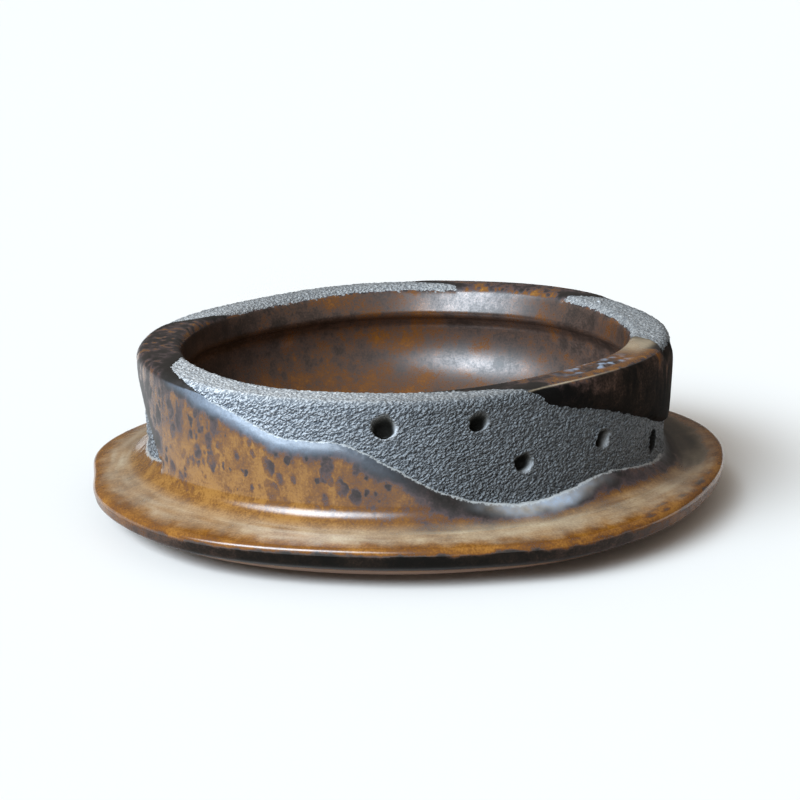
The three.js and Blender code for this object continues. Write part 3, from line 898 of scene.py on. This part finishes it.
def tornClay(name, shine):
    # coarse grogged stoneware, torn and left bare: sharp grit, painted light making it pale on the lit side
    # and painted shade making it charcoal on the other
    material, tree, shader = newMaterial(name)
    place = addNode(tree, "TexCoord").outputs["Object"]
    # painted light and shade, smoothness, painted shade in the pits and painted glint, as laid on the mesh
    light, rubbed, deep, paintedGlint = [addNode(tree, "Attribute", {"attribute_name": layer}).outputs["Fac"]
                                  for layer in ("clayLight", "clayRubbed", "clayDeep", "claySmear")]

    # grit and crumbs, here and a step to the upper left, so that each grain gets painted light on that side
    # and painted shade on the other
    aside = addNode(tree, "VectorMath", plus, in_0=place, in_1=(-0.24 * mm, -0.05 * mm, 0.2 * mm))
    reliefs = []
    for spot in (place, aside):
        leant = addNode(tree, "Mapping", {"vector_type": "TEXTURE"}, Vector=spot, Rotation=(0, -0.6, 0),
                        Scale=(1.45, 1, 0.85))
        grit = addNode(tree, "TexVoronoi", {"distance": "MANHATTAN"}, Vector=leant, Scale=1 / (0.9 * mm))
        crumb = addNode(tree, "TexNoise", Vector=leant, Scale=1 / (0.53 * mm), Detail=1.5, Roughness=0.6)
        reliefs.append(addNode(tree, "Math", timesPlus, in_0=grit, in_1=-0.4, in_2=crumb))
    mixed, ahead = reliefs
    # painted light: the lit side shows more raised grain
    litGrain = addNode(tree, "Math", timesPlus, in_0=light, in_1=0.07, in_2=mixed)
    raised = addNode(tree, "MapRange", soft, Value=litGrain, From_Min=0.14, From_Max=0.46)
    # painted light and shade by slope towards the upper left
    slope = addNode(tree, "Math", minus, in_0=mixed, in_1=ahead)
    facing = addNode(tree, "MapRange", soft, Value=slope, From_Min=-0.1, From_Max=0.155)
    grain = addNode(tree, "Mix", in_0=0.68, in_2=raised, in_3=facing)
    # lit and shaded copies of the clay colour, mixed by the painted light
    low = addNode(tree, "Mix", blend, in_0=light, in_6=linear("#020303"), in_7=linear("#6a7582"))
    high = addNode(tree, "Mix", blend, in_0=light, in_6=linear("#70767a"), in_7=linear("#f0f6fc"))
    keep = addNode(tree, "MapRange", Value=rubbed, From_Max=0.8, To_Min=1, To_Max=0)
    evened = addNode(tree, "Mix", in_0=keep, in_2=0.42, in_3=grain)
    colour = addNode(tree, "Mix", blend, in_0=evened, in_6=low, in_7=high)
    neutral = addNode(tree, "Mix", tinted, in_0=rubbed, in_6=colour, in_7=(1.2, 1.02, 0.8, 1))
    # painted shade in the pits, then a painted glint on their lower right sides
    pitShaded = addNode(tree, "Mix", blend, in_0=deep, in_6=neutral, in_7=linear("#060606"))
    glintPainted = addNode(tree, "Mix", blend, in_0=paintedGlint, in_6=pitShaded, in_7=linear("#e6eaee"))
    sharp = addNode(tree, "MapRange", Value=rubbed, To_Min=1, To_Max=0.12)
    bump = addNode(tree, "Bump", Height=mixed, Strength=sharp, Distance=mm)
    rough = addNode(tree, "MapRange", Value=rubbed, To_Min=0.34, To_Max=0.3)
    setInputs(tree, shader, Base_Color=glintPainted, Roughness=rough, Normal=bump, Specular_IOR_Level=shine)
    return material


def footClay():
    # the same stoneware wiped clean of glaze: toasted pinkish brown, matt, with darker grog
    material, tree, shader = newMaterial("bare stoneware, wiped and fired")
    place = addNode(tree, "TexCoord").outputs["Object"]
    cloud = addNode(tree, "TexNoise", Vector=place, Scale=1 / (6 * mm), Detail=4)
    grog = addNode(tree, "TexVoronoi", Vector=place, Scale=1 / (1.4 * mm))
    mixed = addNode(tree, "Math", timesPlus, in_0=grog, in_1=0.35, in_2=cloud)
    colour = addNode(tree, "ValToRGB", {"stops": [(0.3, "#6b4f41"), (0.6, "#8d6b58"), (0.9, "#a58572")]},
                     Fac=mixed)
    bump = addNode(tree, "Bump", Height=grog, Strength=0.3, Distance=0.2 * mm)
    setInputs(tree, shader, Base_Color=colour, Normal=bump, Roughness=0.8)
    return material


def netPlastic():
    # black polyethylene net, moulded: dull with faint flow marks and a little dust
    material, tree, shader = newMaterial("polyethylene net, moulded")
    place = addNode(tree, "TexCoord").outputs["Object"]
    dust = addNode(tree, "TexNoise", Vector=place, Scale=1 / (2.5 * mm), Detail=4)
    colour = addNode(tree, "ValToRGB", {"stops": [(0.35, "#1c1d1b"), (0.7, "#33332f")]}, Fac=dust)
    rough = addNode(tree, "MapRange", Value=dust, To_Min=0.4, To_Max=0.7)
    setInputs(tree, shader, Base_Color=colour, Roughness=rough)
    return material


def clipWire():
    # annealed aluminium wire, drawn: soft grey with fine lengthwise scratches
    material, tree, shader = newMaterial("aluminium wire, drawn")
    place = addNode(tree, "TexCoord").outputs["Object"]
    drawn = addNode(tree, "Mapping", Vector=place, Scale=(1, 8, 1))
    scratch = addNode(tree, "TexNoise", Vector=drawn, Scale=1 / (1.2 * mm), Detail=3)
    colour = addNode(tree, "ValToRGB", {"stops": [(0.3, "#a9abad"), (0.7, "#c9cbcd")]}, Fac=scratch)
    rough = addNode(tree, "MapRange", Value=scratch, To_Min=0.28, To_Max=0.5)
    setInputs(tree, shader, Base_Color=colour, Roughness=rough, Metallic=1)
    return material


glaze = ironGlaze("iron glaze, fired on stoneware", 0.7)
mattGlaze = ironGlaze("iron glaze, fired matt", 0.1)
torn = tornClay("coarse black stoneware, torn", 0.6)
poked = tornClay("coarse black stoneware, poked", 0.05)
wiped = footClay()
print("materials made")

wallRing = makeWall()
settle(wallRing, glaze, "wall_ring")
mottled = 0.25 * roughly(centresOf(wallRing.data), 1.5)      # no hard edge to the side that fired matt
repaint(wallRing, mattGlaze, onFaces(wallRing.data, "glazeMatt") + mottled > wallShape["mattOver"])
baseSlab = makeSlab()
settle(baseSlab, glaze, "base_slab")
repaint(baseSlab, mattGlaze, centresOf(baseSlab.data)[:, 2] < slabShape["mattBelow"])    # lip and underside
for panelName in tornZones:
    panel = makePanel(panelName)
    settle(panel, torn, panelName)
    repaint(panel, poked, onFaces(panel.data, "clayDeep") > pitShape["mattOver"])      # no glints in the pits
for footName, footTurn in (("front", 270), ("right", 30), ("left", 150)):
    settle(makeFoot("foot" + footName.capitalize(), footTurn), wiped, "foot_" + footName)
settle(makeNet(), netPlastic(), "drain_screen")
settle(makeClip(), clipWire(), "screen_clip")

# floor, light and camera
studio = {"floorSeen": "#f4f0ea", "floorBounce": "#b4b2ae", "keyTurn": 226, "keyRise": 38, "wide": 0.65,
          "tall": 0.33, "window": 20, "windowTint": (0.74, 0.87, 1), "roomLow": 0.02, "roomHigh": 0.46,
          "roomTint": (1.06, 0.97, 0.88), "roomFrom": (-0.45, -0.55, 0.7)}

clearSelection()
bpy.ops.mesh.primitive_plane_add(size=10, location=(0, 0, 0))
floor = bpy.context.object
floor.name = "studioFloor"
floorPaint, floorTree, floorShader = newMaterial("studio paper")
rays = addNode(floorTree, "LightPath").outputs
seen = addNode(floorTree, "Math", larger, in_0=rays["Is Camera Ray"], in_1=rays["Is Glossy Ray"])
seenAll = addNode(floorTree, "Math", larger, in_0=seen, in_1=rays["Is Transmission Ray"])
paper = addNode(floorTree, "Mix", blend, in_0=seenAll, in_6=linear(studio["floorBounce"]),
                in_7=linear(studio["floorSeen"]))
setInputs(floorTree, floorShader, Base_Color=paper, Roughness=0.9, Specular_IOR_Level=0.05)
floor.data.materials.append(floorPaint)

# a wide window of cool light from the front left, over an even room
turn, rise = math.radians(studio["keyTurn"]), math.radians(studio["keyRise"])
toWindow = Vector((math.cos(turn) * math.cos(rise), math.sin(turn) * math.cos(rise), math.sin(rise)))
sideways = Vector((-math.sin(turn), math.cos(turn), 0))
upwards = toWindow.cross(sideways)
world = bpy.data.worlds.new("studio")
world.use_nodes = True
sky = world.node_tree
look = addNode(sky, "TexCoord").outputs["Generated"]
facing = addNode(sky, "VectorMath", dot, in_0=look, in_1=toWindow)
offSide = addNode(sky, "VectorMath", dot, in_0=look, in_1=sideways / studio["wide"])
offUp = addNode(sky, "VectorMath", dot, in_0=look, in_1=upwards / studio["tall"])
offBoth = addNode(sky, "CombineXYZ", X=offSide, Y=offUp)
off = addNode(sky, "VectorMath", {"operation": "LENGTH"}, in_0=offBoth)
pane = addNode(sky, "MapRange", soft, Value=off, From_Min=1, From_Max=0.15)
front = addNode(sky, "Math", {"operation": "GREATER_THAN"}, in_0=facing, in_1=0)
window = addNode(sky, "Math", times, in_0=pane, in_1=front)
lit = addNode(sky, "VectorMath", scaled, in_0=studio["windowTint"], Scale=window)
bright = addNode(sky, "VectorMath", scaled, in_0=lit, Scale=studio["window"])
fromRoom = addNode(sky, "VectorMath", dot, in_0=look, in_1=studio["roomFrom"])
roomLevel = addNode(sky, "MapRange", Value=fromRoom, From_Min=-1, From_Max=1, To_Min=studio["roomLow"],
                    To_Max=studio["roomHigh"])
room = addNode(sky, "VectorMath", scaled, in_0=studio["roomTint"], Scale=roomLevel)
total = addNode(sky, "VectorMath", plus, in_0=bright, in_1=room)
setInputs(sky, sky.nodes["Background"], Color=total)
bpy.context.scene.world = world
bpy.context.scene.view_settings.view_transform = "Standard"

view = {"eye": (-1.81, -725.95, 218.8), "rise": 14.55, "roll": -1.18, "lens": 110.97}
cameraData = bpy.data.cameras.new("camera")
cameraData.lens = view["lens"]
cameraData.sensor_width = 36
cameraData.clip_end = 50
camera = bpy.data.objects.new("camera", cameraData)
bpy.context.scene.collection.objects.link(camera)
camera.matrix_world = (Matrix.Translation(Vector(view["eye"]) * mm)
                       @ Matrix.Rotation(math.radians(90 - view["rise"]), 4, "X")
                       @ Matrix.Rotation(math.radians(view["roll"]), 4, "Z"))
bpy.context.scene.camera = camera
print("stage set")
